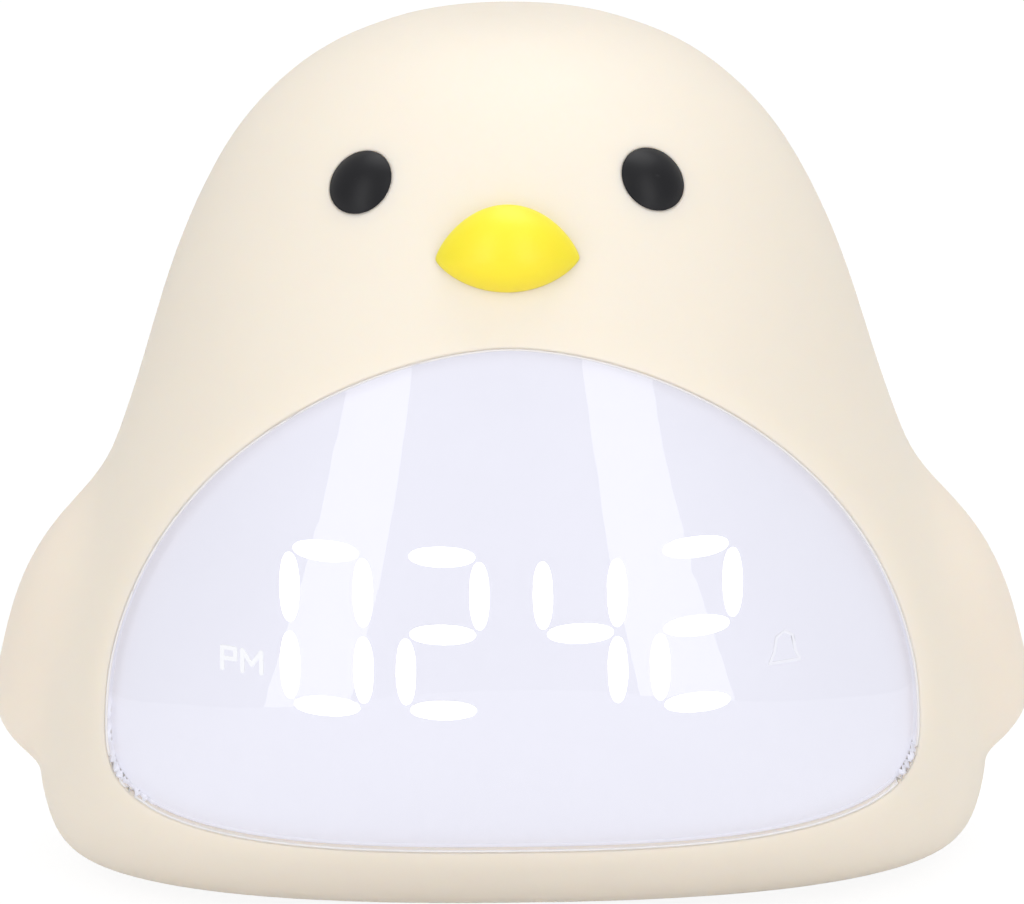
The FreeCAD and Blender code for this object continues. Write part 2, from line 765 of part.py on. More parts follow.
def build_port():
    """A socket that stands on the board and opens through the panel."""
    back = size_of("main_board_front") + size_of("board_thickness")
    mouth = back_of_body(4.5, size_of("port_level")) - 0.6
    reach = (size_of("port_width") - size_of("port_height")) / 2
    level = size_of("port_level")
    outer = bar_prism((-reach, level), (reach, level), size_of("port_height"), back, mouth - back)
    bore = bar_prism((-reach, level), (reach, level), size_of("port_height") - 0.6, back + 2.0, mouth - back)
    tongue = Part.makeBox(6.4, mouth - back - 1.2, 0.7, Vector(-3.2, back + 0.5, level - 0.35))
    keep(add_shape("charging_port", outer.cut(bore)), "charging_port")
    keep(add_shape("port_tongue", tongue.cut(outer.cut(bore))), "port_tongue")


def build_slide_switch():
    back = size_of("main_board_front") + size_of("board_thickness")
    level = size_of("switch_level")
    x = size_of("key_pitch")
    top = back_of_body(x + 4.0, level + 1.3) - 0.3 - size_of("panel_thickness") - 0.7
    case_width = 8.6
    case = Part.makeBox(case_width, 2.6, 3.6, Vector(x - case_width / 2, back, level - 1.8))
    track = Part.makeBox(5.2, 1.6, 1.5, Vector(x - 2.6, back + 1.4, level - 0.75))
    keep(add_shape("switch_case", case.cut(track)), "switch_case")
    knob_x = x - size_of("switch_travel") / 2
    stem = Part.makeBox(1.4, top - back - 1.5, 1.3, Vector(knob_x - 0.7, back + 1.5, level - 0.65))
    stand = back_of_body(x, level) + 0.6
    cap = Part.makeBox(1.9, stand - top, 2.1, Vector(knob_x - 0.95, top, level - 1.05))
    keep(add_shape("switch_knob", stem.fuse(cap).removeSplitter()), "switch_knob")


def build_base():
    gap = size_of("floor_gap")
    plate = base_outline(0.0, gap, size_of("base_thickness"))
    tools = []
    grille_radius = 10.5
    slot_pitch = 3.0
    slot_width = 1.4
    for number in range(-3, 4):
        reach = math.sqrt(grille_radius ** 2 - (number * slot_pitch) ** 2)
        start = Vector(-reach, size_of("base_centre") + number * slot_pitch - slot_width / 2, 0.0)
        tools.append(Part.makeBox(2 * reach, slot_width, 6.0, start))
    for place in base_screw_places():
        tools.append(Part.makeCylinder(size_of("screw_radius") + 0.15, 6.0, place, UP))
        tools.append(Part.makeCylinder(size_of("screw_head") + 0.2, gap + 0.9, place, UP))
    for side_x in (-1, 1):
        for side_y in (-1, 1):
            centre = size_of("base_centre")
            place = Vector(side_x * size_of("foot_x"), centre + side_y * size_of("foot_y"), 0.0)
            tools.append(Part.makeCylinder(size_of("foot_radius") + 0.1, gap + 0.6, place, UP))
    keep(add_shape("base_plate", plate.cut(tools)), "base_plate")


def build_feet():
    pads = []
    for side_x in (-1, 1):
        for side_y in (-1, 1):
            base = ["%d * sizes.foot_x" % side_x, "sizes.base_centre + %d * sizes.foot_y" % side_y, "0"]
            name = "foot_%d_%d" % (side_x + 1, side_y + 1)
            pads.append(add_cylinder(name, "sizes.foot_radius", "sizes.floor_gap + 0.6", base))
    group = document.addObject("Part::Compound", "feet_group")
    group.Links = pads
    keep(group, "rubber_feet")


def screw_solid(place, direction, length):
    """A pan head screw: place is under its head, direction is the way its tip points."""
    head = Part.makeCylinder(size_of("screw_head"), 1.2, place - direction * 1.2, direction)
    shank = Part.makeCylinder(size_of("screw_radius") - 0.06, length, place, direction)
    slot = Part.makeBox(2.4, 0.5, 0.6, Vector(-1.2, -0.25, -0.6))
    cross = Part.makeBox(0.5, 2.4, 0.6, Vector(-0.25, -1.2, -0.6))
    recess = slot.fuse(cross)
    turn = FreeCAD.Rotation(UP, direction * -1)
    recess.Placement = FreeCAD.Placement(place - direction * 1.2, turn)
    return head.fuse(shank).cut(recess)


def build_screws():
    seat = Vector(0, 0, size_of("floor_gap") + 0.9)
    base = [screw_solid(place + seat, UP, 6.0) for place in base_screw_places()]
    keep(add_shape("base_screws", Part.makeCompound(base)), "base_screws")
    joining = [screw_solid(Vector(x, 8.05, level), BACKWARDS * -1, 14.0) for x, level in boss_places()]
    keep(add_shape("shell_screws", Part.makeCompound(joining)), "shell_screws")


def build_battery():
    cell = add_cylinder("cell", "sizes.battery_radius", "sizes.battery_length",
                        ["-sizes.battery_length / 2", "sizes.battery_centre", "sizes.battery_level"],
                        Vector(1, 0, 0))
    keep(cell, "battery_cell")
    trough = add_box("trough", "sizes.battery_length + 4", "2 * sizes.battery_radius + 3", "9",
                     ["-sizes.battery_length / 2 - 2", "sizes.battery_centre - sizes.battery_radius - 1.5",
                      "sizes.battery_level - sizes.battery_radius - 1.5"])
    hollow = add_cylinder("trough_hollow", "sizes.battery_radius + 0.25", "sizes.battery_length + 0.6",
                          ["-sizes.battery_length / 2 - 0.3", "sizes.battery_centre", "sizes.battery_level"],
                          Vector(1, 0, 0))
    keep(add_cut("battery_cradle_form", trough, hollow), "battery_cradle")


def build_speaker():
    centre = Vector(0, size_of("base_centre"), 0)
    radius = size_of("speaker_radius")
    bottom = size_of("floor_gap") + size_of("base_thickness") + 0.1
    axis = Part.Wire(Part.makePolygon([
        Vector(radius - 2.2, 0, bottom), Vector(radius, 0, bottom), Vector(radius, 0, bottom + 1.4),
        Vector(radius - 1.6, 0, bottom + 1.4), Vector(6.2, 0, bottom + 4.0), Vector(6.2, 0, bottom + 3.2),
        Vector(radius - 2.2, 0, bottom + 0.8), Vector(radius - 2.2, 0, bottom)]))
    frame = Part.Face(axis).revolve(Vector(), UP, 360)
    frame.translate(centre)
    keep(add_shape("speaker_frame", frame), "speaker_frame")
    cone_line = Part.makePolygon([
        Vector(0, 0, bottom + 2.4), Vector(4.0, 0, bottom + 2.4), Vector(radius - 2.5, 0, bottom + 0.3),
        Vector(radius - 2.5, 0, bottom + 0.6), Vector(4.0, 0, bottom + 2.8), Vector(0, 0, bottom + 2.8),
        Vector(0, 0, bottom + 2.4)])
    cone = Part.Face(Part.Wire(cone_line)).revolve(Vector(), UP, 360)
    cone.translate(centre)
    keep(add_shape("speaker_cone", cone), "speaker_cone")
    magnet = add_cylinder("magnet", "7", "3.2",
                          ["0", "sizes.base_centre", "sizes.floor_gap + sizes.base_thickness + 4.15"])
    keep(magnet, "speaker_magnet")


def build_light():
    level = size_of("light_board_level")
    disc = add_cylinder("light_disc", "sizes.light_board_radius", "sizes.board_thickness",
                        ["0", "0", "sizes.light_board_level"])
    keep(disc, "light_board")
    top = level + size_of("board_thickness")
    chips = [Part.makeBox(3.5, 2.8, 1.0, Vector(-1.75, -1.4, top))]
    for number in range(8):
        turn = 2 * math.pi * number / 8
        chip = Part.makeBox(3.5, 2.8, 1.0, Vector(-1.75, -1.4, 0))
        chip.Placement = FreeCAD.Placement(Vector(13 * math.cos(turn), 13 * math.sin(turn), top),
                                           FreeCAD.Rotation(UP, math.degrees(turn)))
        chips.append(chip)
    keep(add_shape("light_leds", Part.makeCompound(chips)), "light_leds")
    rim = size_of("light_board_radius")
    line = Part.makePolygon([
        Vector(rim + 0.3, 0, level - 0.6), Vector(rim + 1.5, 0, level - 0.6),
        Vector(rim + 5.0, 0, level + 5.0), Vector(rim + 3.9, 0, level + 5.0),
        Vector(rim + 0.3, 0, level + 0.4), Vector(rim + 0.3, 0, level - 0.6)])
    ring = Part.Face(Part.Wire(line)).revolve(Vector(), UP, 360)
    keep(add_shape("light_reflector", ring), "light_reflector")


def build_inner_frame():
    """The bracket that stands on the shells' floor and carries battery cradle, light and boards."""
    level = size_of("light_board_level")
    rim = size_of("light_board_radius")
    floor = 5.6
    cradle_bottom = size_of("battery_level") - size_of("battery_radius") - 1.5
    shelf = Part.makeBox(78.0, 10.0, 1.8, Vector(-39.0, size_of("battery_centre") - 5.0, cradle_bottom - 1.9))
    pieces = [shelf]
    for side in (-1, 1):
        leg = Part.makeBox(2.0, 10.0, level - 2.2 - floor, Vector(side * 37.0 - 1.0, -1.8, floor))
        pieces.append(leg.common(Part.makeBox(90, 40, 40, Vector(-45, -20, 0))))
    ring = Part.makeCylinder(rim + 0.2, 1.6, Vector(0, 0, level - 1.65), UP)
    ring = ring.cut(Part.makeCylinder(rim - 5.0, 4.0, Vector(0, 0, level - 3.0), UP))
    pieces.append(ring)
    for side in (-1, 1):
        arm = Part.makePolygon([
            Vector(side * 36.0, 0, 38.0), Vector(side * 38.0, 0, 38.0), Vector(side * 38.0, 0, 41.0),
            Vector(side * 20.0, 0, level - 1.0), Vector(side * 17.5, 0, level - 1.0),
            Vector(side * 36.0, 0, 38.0)])
        brace = Part.Face(Part.Wire(arm)).extrude(Vector(0, 8.0, 0))
        brace.translate(Vector(0, 0.2, 0))
        pieces.append(brace)
    solid = pieces[0].multiFuse(pieces[1:]).removeSplitter()
    keep(add_shape("inner_frame", solid), "inner_frame")


def face_point(x, level):
    """Point and outward direction of the bare body's front surface."""
    place = place_at(level)
    half_width, front, _, exponent, _ = section_at(place)
    y = -front * (1 - abs(x / half_width) ** exponent) ** (1 / exponent)
    turn = math.atan2(y, x)
    point = section_point(place, turn)
    outwards = point - inset_point(place, turn, 1.0)
    return point, outwards


def eye_shape(side, grow):
    """A low dome seated in the face, square to its surface."""
    radius = size_of("eye_radius") + grow
    rise = size_of("eye_rise")
    depth = size_of("eye_depth") + grow
    point, outwards = face_point(side * size_of("eye_x"), size_of("eye_level"))
    ball_radius = (radius ** 2 + rise ** 2) / (2 * rise)
    ball = Part.makeSphere(ball_radius, Vector(0, 0, rise - ball_radius))
    dome = ball.common(Part.makeCylinder(radius, 5.0, Vector(), UP))
    eye = Part.makeCylinder(radius, depth, Vector(0, 0, -depth), UP).fuse(dome)
    eye.Placement = FreeCAD.Placement(point - outwards * 0.3, FreeCAD.Rotation(UP, outwards))
    return eye


def beak_shape():
    """A soft lemon-shaped beak, bowed along the face and trimmed where it is bonded to it."""
    point, _ = face_point(0.0, size_of("beak_level"))
    half_width = size_of("beak_half_width")
    face_radius = 36.0
    root_depth = 1.7
    rows = 17
    columns = 12
    sections = [Part.Vertex(Vector(-half_width, half_width ** 2 / (2 * face_radius), 0))]
    for row in range(1, rows):
        x = half_width * math.sin((2.0 * row / rows - 1.0) * math.pi / 2)
        swell = (1 - (x / half_width) ** 2) ** 0.75
        bow = x ** 2 / (2 * face_radius)
        points = []
        for column in range(columns):
            turn = 2 * math.pi * column / columns
            rise = size_of("beak_rise") if math.sin(turn) > 0 else size_of("beak_drop")
            depth = size_of("beak_depth") if math.cos(turn) > 0 else root_depth
            forward = -depth * math.cos(turn) * swell
            points.append(Vector(x, bow + forward, rise * math.sin(turn) * swell))
        curve = Part.BSplineCurve()
        curve.interpolate(Points=points, PeriodicFlag=True)
        sections.append(Part.Wire(curve.toShape()))
    sections.append(Part.Vertex(Vector(half_width, half_width ** 2 / (2 * face_radius), 0)))
    beak = Part.makeLoft(sections, True, False)
    beak.Placement = FreeCAD.Placement(point, FreeCAD.Rotation(Vector(1, 0, 0), -12))
    return beak.cut(patch_prism(0.0, -1, 0.55, 0.93, 30.0))


def build_face():
    keep(add_shape("left_eye", eye_shape(-1, 0.0)), "left_eye")
    keep(add_shape("right_eye", eye_shape(1, 0.0)), "right_eye")
    keep(add_shape("beak", beak_shape()), "beak")


build_cover()
print("cover built")
build_shells()
print("shells built")
build_display()
print("display built")
build_display_board()
build_rear_panel()
build_keys()
build_main_board()
build_port()
build_slide_switch()
place_boards()
build_base()
build_feet()
build_screws()
build_battery()
build_speaker()
build_light()
build_inner_frame()
build_face()
document.recompute()

boxes = [thing.Shape.optimalBoundingBox(False) for thing in nodes]
front_limit = min(box.YMin for box in boxes)
back_limit = max(box.YMax for box in boxes)
to_middle = Vector(0, -(front_limit + back_limit) / 2, 0)
print("body axis is", round(to_middle.y, 2), "mm behind the middle of the part")
os.makedirs("parts", exist_ok=True)
for thing in document.Objects:
    problems = [word for word in thing.State if word in ("Invalid", "Error")]
    if problems:
        raise RuntimeError("%s is %s" % (thing.Label, problems))
for thing in nodes:
    shape = thing.Shape
    print(thing.Label, "solids", len(shape.Solids), "volume", round(shape.Volume, 1))
    if shape.isNull() or not shape.isValid():
        raise RuntimeError("bad shape: " + thing.Label)
    shape.translated(to_middle).exportStep(os.path.join("parts", thing.Label + ".step"))
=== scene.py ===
# %% [markdown]
# A bird-shaped night light with a clock in its belly.
# The construction model is loaded first, as a fixed frame: every piece that is added
# later is placed by asking that frame where things are, so nothing has to be fitted.

# %% Load the frame
import math
import bmesh
import bpy
from mathutils import Matrix, Vector


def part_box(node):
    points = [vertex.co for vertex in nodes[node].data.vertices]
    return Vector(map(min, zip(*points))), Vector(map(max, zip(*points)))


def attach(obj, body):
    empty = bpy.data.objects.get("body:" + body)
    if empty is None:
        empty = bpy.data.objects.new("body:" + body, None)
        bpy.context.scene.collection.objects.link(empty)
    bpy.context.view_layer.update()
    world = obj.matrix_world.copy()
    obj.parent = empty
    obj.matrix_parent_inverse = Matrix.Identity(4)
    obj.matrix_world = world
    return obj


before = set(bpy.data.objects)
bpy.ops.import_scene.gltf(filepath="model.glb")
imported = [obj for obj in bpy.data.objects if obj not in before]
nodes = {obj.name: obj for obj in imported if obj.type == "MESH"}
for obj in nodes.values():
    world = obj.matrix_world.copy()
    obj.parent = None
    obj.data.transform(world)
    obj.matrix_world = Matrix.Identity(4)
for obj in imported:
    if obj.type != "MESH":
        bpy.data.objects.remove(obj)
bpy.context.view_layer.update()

# %% [markdown]
# The picture was taken from a little above, with a long lens and with a very small roll.
# A camera that looks at a point inside the body is easy to aim: put it at a distance
# along a direction, point it back and turn it by the roll. The focal length follows from
# how many pixels one millimetre of the body covers.

# %% Camera
PICTURE_WIDTH = 1024
PIXELS_PER_MM = 8.6
CAMERA_DISTANCE = 0.8
CAMERA_HEIGHT_ANGLE = math.radians(13.0)
CAMERA_ROLL = math.radians(0.62)
SENSOR_WIDTH = 36.0
SHIFT_PIXELS = 2.4
AIM_LEVEL = 0.047


def body_axis_y():
    """The body's upright axis lies a little behind the middle: the light board is centred on it."""
    low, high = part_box("light_board")
    return (low[1] + high[1]) / 2


AXIS_Y = body_axis_y()
aim = Vector((0, AXIS_Y, AIM_LEVEL))
away = Vector((0, -math.cos(CAMERA_HEIGHT_ANGLE), math.sin(CAMERA_HEIGHT_ANGLE)))
camera_data = bpy.data.cameras.new("camera")
camera_data.sensor_width = SENSOR_WIDTH
camera_data.lens = SENSOR_WIDTH * PIXELS_PER_MM * CAMERA_DISTANCE * 1000 / PICTURE_WIDTH
camera_data.shift_x = SHIFT_PIXELS / PICTURE_WIDTH
camera = bpy.data.objects.new("camera", camera_data)
bpy.context.scene.collection.objects.link(camera)
place = Matrix.Translation(aim + away * CAMERA_DISTANCE)
turn = (-away).to_track_quat("-Z", "Y").to_matrix().to_4x4()
roll = Matrix.Rotation(-CAMERA_ROLL, 4, "Z")
camera.matrix_world = place @ turn @ roll
bpy.context.scene.camera = camera
print("camera at", [round(v, 3) for v in camera.location], "lens", round(camera_data.lens, 1), "mm")

# %% [markdown]
# Everything stands on a small pale table in a white studio. The table ends a third of a
# metre in front of the clock, because the glossy belly mirrors the dark gap beyond it.
# The table glows white to the camera and in reflections. The world is white to the camera
# and to rays that a shader transmits, and a softer grey to everything else, so that the
# object is lit plainly and doesn't wash out.

# %% Table and world
TABLE_FRONT = -0.34
TABLE_BACK = 1.6
TABLE_SIDE = 1.2
TABLE_GLOW = 1.08
TABLE_GLOW_SHARE = 0.84
WORLD_LIGHT = 0.57


def new_material(name):
    """A node material with a Principled shader, and that shader."""
    material = bpy.data.materials.new(name)
    material.use_nodes = True
    return material, material.node_tree.nodes["Principled BSDF"]


def either_ray(tree, first, second):
    """A socket that is one for rays of either of two kinds, and zero for all others."""
    path = tree.nodes.new("ShaderNodeLightPath")
    seen = tree.nodes.new("ShaderNodeMath")
    seen.operation = "MAXIMUM"
    tree.links.new(path.outputs[first], seen.inputs[0])
    tree.links.new(path.outputs[second], seen.inputs[1])
    return seen.outputs[0]


def white_to_camera(tree, shader, target):
    """Mix a plain white glow in for the rays that a viewer sees directly, or in a mirror."""
    glow = tree.nodes.new("ShaderNodeEmission")
    glow.inputs["Strength"].default_value = TABLE_GLOW
    share = tree.nodes.new("ShaderNodeMath")
    share.operation = "MULTIPLY"
    share.inputs[1].default_value = TABLE_GLOW_SHARE
    tree.links.new(either_ray(tree, "Is Camera Ray", "Is Glossy Ray"), share.inputs[0])
    mix = tree.nodes.new("ShaderNodeMixShader")
    tree.links.new(share.outputs[0], mix.inputs["Fac"])
    tree.links.new(shader, mix.inputs[1])
    tree.links.new(glow.outputs[0], mix.inputs[2])
    tree.links.new(mix.outputs[0], target)


def make_table():
    """The pale table, which belongs to the stage and not to the object."""
    mesh = bpy.data.meshes.new("table")
    corners = [(-TABLE_SIDE, TABLE_FRONT, 0), (TABLE_SIDE, TABLE_FRONT, 0),
               (TABLE_SIDE, TABLE_BACK, 0), (-TABLE_SIDE, TABLE_BACK, 0)]
    mesh.from_pydata(corners, [], [(0, 1, 2, 3)])
    table = bpy.data.objects.new("table", mesh)
    bpy.context.scene.collection.objects.link(table)
    material, shader = new_material("table_paper")
    shader.inputs["Base Color"].default_value = (0.86, 0.86, 0.87, 1)
    shader.inputs["Roughness"].default_value = 0.7
    tree = material.node_tree
    white_to_camera(tree, shader.outputs[0], tree.nodes["Material Output"].inputs["Surface"])
    mesh.materials.append(material)


def make_world():
    """A world that is white where it is seen, and softer where it only lights."""
    world = bpy.data.worlds.new("studio")
    world.use_nodes = True
    tree = world.node_tree
    plain = tree.nodes["Background"]
    plain.inputs["Color"].default_value = (1.0, 1.0, 1.0, 1)
    plain.inputs["Strength"].default_value = WORLD_LIGHT
    white = tree.nodes.new("ShaderNodeBackground")
    white.inputs["Strength"].default_value = 1.0
    mix = tree.nodes.new("ShaderNodeMixShader")
    tree.links.new(either_ray(tree, "Is Camera Ray", "Is Transmission Ray"), mix.inputs["Fac"])
    tree.links.new(plain.outputs[0], mix.inputs[1])
    tree.links.new(white.outputs[0], mix.inputs[2])
    tree.links.new(mix.outputs[0], tree.nodes["World Output"].inputs["Surface"])
    bpy.context.scene.world = world


make_table()
make_world()
print("table and world made")

# %% [markdown]
# Two tall strip boxes stand left and right of the camera. They give the belly its two
# upright bands of light, so their places were worked out by following mirror rays from
# the ends of those bands. A wide box overhead lights the crown of the head.

# %% Lamps
STRIP_DISTANCE = 0.9
STRIP_POWER = 2.4
STRIP_BOTTOM = -0.12
STRIP_TOP = 1.15


def add_box_light(name, centre, target, width, height, radiance):
    """An area lamp with a given radiance: its power is the radiance times pi times its area."""
    data = bpy.data.lights.new(name, "AREA")
    data.shape = "RECTANGLE"
    data.size = width
    data.size_y = height
    data.energy = radiance * math.pi * width * height
    lamp = bpy.data.objects.new(name, data)
    bpy.context.scene.collection.objects.link(lamp)
    facing = (Vector(target) - Vector(centre)).to_track_quat("-Z", "Y").to_matrix().to_4x4()
    lamp.matrix_world = Matrix.Translation(Vector(centre)) @ facing
    return lamp


def strip_edge(angle):
    """The place of one upright edge of a strip, at an angle counted from straight ahead."""
    turned = math.radians(angle)
    return Vector((math.sin(turned), -math.cos(turned), 0)) * STRIP_DISTANCE


def add_strip(name, angle_in, angle_out, diffuse):
    """A strip that covers the directions between two angles, counted from straight ahead."""
    inner = strip_edge(angle_in)
    outer = strip_edge(angle_out)
    centre = (inner + outer) / 2
    level = (STRIP_BOTTOM + STRIP_TOP) / 2
    centre.z = level
    width = (outer - inner).length
    lamp = add_box_light(name, centre, (0, 0, level), width, STRIP_TOP - STRIP_BOTTOM, STRIP_POWER)
    lamp.data.diffuse_factor = diffuse


add_strip("strip_left", angle_in=-28.5, angle_out=-50.0, diffuse=0.12)
add_strip("strip_right", angle_in=21.5, angle_out=43.0, diffuse=0.56)
add_box_light("box_above", centre=(0.12, 0.25, 1.1), target=(0, 0, 0.05),
              width=0.9, height=0.7, radiance=2.3)
print("lamps made")

# %% [markdown]
# The cover is silicone: soft, matt and a little translucent. Its colour is one cream with
# a very slow drift, light scatters under the skin, and a fine bump keeps it from looking
# like paint. One helper makes such moulded finishes, because the shells, keys and feet
# differ only in colour, gloss and grain size.

# %% Moulded finishes
DRIFT_SCALE = 25.0
GRAIN_DEPTH = 0.0001
SCATTER_DEPTH = 0.004


def add_drift(material, shader, color, amount, scale):
    """Let a base colour drift slightly over the surface with a large soft noise."""
    tree = material.node_tree
    place = tree.nodes.new("ShaderNodeTexCoord")
    noise = tree.nodes.new("ShaderNodeTexNoise")
    noise.inputs["Scale"].default_value = scale
    noise.inputs["Detail"].default_value = 3.0
    tree.links.new(place.outputs["Object"], noise.inputs["Vector"])
    ramp = tree.nodes.new("ShaderNodeValToRGB")
    ramp.color_ramp.elements[0].position = 0.3
    ramp.color_ramp.elements[1].position = 0.7
    ramp.color_ramp.elements[0].color = [part * (1 - amount) for part in color] + [1]
    ramp.color_ramp.elements[1].color = [min(part * (1 + amount), 1.0) for part in color] + [1]
    tree.links.new(noise.outputs["Fac"], ramp.inputs["Fac"])
    tree.links.new(ramp.outputs["Color"], shader.inputs["Base Color"])


def add_grain(material, shader, scale, strength, edge=0.0):
    """Fine moulded grain from a noise bump, over edges that look rounded by the edge radius."""
    tree = material.node_tree
    place = tree.nodes.new("ShaderNodeTexCoord")
    noise = tree.nodes.new("ShaderNodeTexNoise")
    noise.inputs["Scale"].default_value = scale
    noise.inputs["Detail"].default_value = 2.0
    tree.links.new(place.outputs["Object"], noise.inputs["Vector"])
    bump = tree.nodes.new("ShaderNodeBump")
    bump.inputs["Strength"].default_value = strength
    bump.inputs["Distance"].default_value = GRAIN_DEPTH
    tree.links.new(noise.outputs["Fac"], bump.inputs["Height"])
    if edge:
        rounded = tree.nodes.new("ShaderNodeBevel")
        rounded.samples = 4
        rounded.inputs["Radius"].default_value = edge
        tree.links.new(rounded.outputs["Normal"], bump.inputs["Normal"])
    tree.links.new(bump.outputs["Normal"], shader.inputs["Normal"])


def moulded(name, color, roughness, grain_scale=2500.0, grain=0.08, drift=0.015, soft=0.0, shine=0.5,
            edge=0.0):
    """A matt or satin moulded material; soft is the share of light that scatters under its skin."""
    material, shader = new_material(name)
    shader.inputs["Roughness"].default_value = roughness
    shader.inputs["Specular IOR Level"].default_value = shine
    add_drift(material, shader, color, drift, DRIFT_SCALE)
    add_grain(material, shader, grain_scale, grain, edge)
    if soft:
        shader.inputs["Subsurface Weight"].default_value = soft
        shader.inputs["Subsurface Radius"].default_value = (1.0, 0.75, 0.5)
        shader.inputs["Subsurface Scale"].default_value = SCATTER_DEPTH
    return material


def dress(node, material):
    """Give a frame node one material in place of those it came with."""
    materials = nodes[node].data.materials
    materials.clear()
    materials.append(material)


silicone = moulded("cream_silicone", (0.90, 0.80, 0.68), roughness=0.55, grain_scale=1800.0,
                   grain=0.06, drift=0.012, soft=0.35, edge=0.0005)
dress("silicone_cover", silicone)
shell_plastic = moulded("diffuser_plastic", (0.85, 0.84, 0.80), roughness=0.5, grain_scale=900.0,
                        grain=0.05, drift=0.01, soft=0.3)
for node in ("front_shell", "rear_shell"):
    dress(node, shell_plastic)
panel_plastic = moulded("cream_plastic", (0.84, 0.75, 0.63), 0.42, 3500.0, 0.2, edge=0.0002)
for node in ("rear_panel", "base_plate"):
    dress(node, panel_plastic)
key_plastic = moulded("key_plastic", (0.88, 0.82, 0.72), 0.35, 3500.0, 0.1)
for node in ("up_key", "set_key", "down_key", "alarm_key", "light_key"):
    dress(node, key_plastic)
white_plastic = moulded("white_plastic", (0.85, 0.85, 0.84), 0.4, 1500.0, 0.08)
for node in ("segment_reflector", "battery_cradle", "light_reflector", "inner_frame"):
    dress(node, white_plastic)
foot_rubber = moulded("foot_rubber", (0.45, 0.44, 0.42), 0.8, 1200.0, 0.3)
dress("rubber_feet", foot_rubber)
print("moulded finishes made")

# %% [markdown]
# The eyes are small satin domes of black silicone and the beak is soft yellow silicone,
# painted darker and more orange towards its lower lip as shade from the light above.

# %% Face finishes
eye_black = moulded("eye_black", (0.009, 0.009, 0.011), roughness=0.42, grain_scale=900.0,
                    grain=0.1, drift=0.1, shine=0.25)
for node in ("left_eye", "right_eye"):
    dress(node, eye_black)


def beak_material():
    """Yellow that turns darker and more orange from the top of the beak to its lower edge: painted shade.
    """
    material, shader = new_material("beak_yellow")
    shader.inputs["Roughness"].default_value = 0.45
    shader.inputs["Subsurface Weight"].default_value = 0.3
    shader.inputs["Subsurface Radius"].default_value = (1.0, 0.7, 0.1)
    shader.inputs["Subsurface Scale"].default_value = 0.002
    tree = material.node_tree
    low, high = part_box("beak")
    place = tree.nodes.new("ShaderNodeTexCoord")
    parts = tree.nodes.new("ShaderNodeSeparateXYZ")
    tree.links.new(place.outputs["Object"], parts.inputs[0])
    height = tree.nodes.new("ShaderNodeMapRange")
    height.inputs["From Min"].default_value = low[2]
    height.inputs["From Max"].default_value = high[2]
    tree.links.new(parts.outputs["Z"], height.inputs["Value"])
    # Painted shade: the low end of the ramp is darker and more orange than the top, as if lit from above.
    ramp = tree.nodes.new("ShaderNodeValToRGB")
    ramp.color_ramp.elements[0].color = (0.94, 0.74, 0.018, 1)
    ramp.color_ramp.elements[1].color = (0.95, 0.84, 0.03, 1)
    tree.links.new(height.outputs["Result"], ramp.inputs["Fac"])
    tree.links.new(ramp.outputs["Color"], shader.inputs["Base Color"])
    add_grain(material, shader, scale=1800.0, strength=0.06)
    return material


dress("beak", beak_material())
print("face finishes made")

# %% [markdown]
# The belly is a clear lens over a pale lavender film. A lens this thin hardly bends what
# lies behind it, so it is a mix of clear and mirror, shared out by Fresnel: that keeps the
# strip reflections crisp and lets the film's colour through without noise. Rays that meet
# the lens from inside pass freely, because its back lies on the film. The display is on,
# so the digits glow brightly. The film itself glows softly everywhere as painted light:
# its base colour is dark, and an even glow makes it pale.

# %% Display finishes
WELL_GAP = 0.00004


def lens_material():
    """Clear to look through, mirroring more at a slant, and never mirroring from inside."""
    material = bpy.data.materials.new("clear_lens")
    material.use_nodes = True
    tree = material.node_tree
    tree.nodes.remove(tree.nodes["Principled BSDF"])
    clear = tree.nodes.new("ShaderNodeBsdfTransparent")
    clear.inputs["Color"].default_value = (0.995, 0.995, 1.0, 1)
    mirror = tree.nodes.new("ShaderNodeBsdfGlossy")
    mirror.inputs["Roughness"].default_value = 0.02
    fresnel = tree.nodes.new("ShaderNodeFresnel")
    fresnel.inputs["IOR"].default_value = 1.49
    side = tree.nodes.new("ShaderNodeNewGeometry")
    outside = tree.nodes.new("ShaderNodeMath")
    outside.operation = "SUBTRACT"
    outside.inputs[0].default_value = 1.0
    tree.links.new(side.outputs["Backfacing"], outside.inputs[1])
    share = tree.nodes.new("ShaderNodeMath")
    share.operation = "MULTIPLY"
    tree.links.new(fresnel.outputs[0], share.inputs[0])
    tree.links.new(outside.outputs[0], share.inputs[1])
    mix = tree.nodes.new("ShaderNodeMixShader")
    tree.links.new(share.outputs[0], mix.inputs["Fac"])
    tree.links.new(clear.outputs[0], mix.inputs[1])
    tree.links.new(mirror.outputs[0], mix.inputs[2])
    tree.links.new(mix.outputs[0], tree.nodes["Material Output"].inputs["Surface"])
    return material


def glowing(name, color, glow_color, strength):
    """A surface that reflects one colour and glows evenly in another."""
    material, shader = new_material(name)
    shader.inputs["Emission Color"].default_value = (*glow_color, 1)
    shader.inputs["Emission Strength"].default_value = strength
    shader.inputs["Roughness"].default_value = 0.5
    add_drift(material, shader, color, 0.01, 60.0)
    return material


dress("display_lens", lens_material())
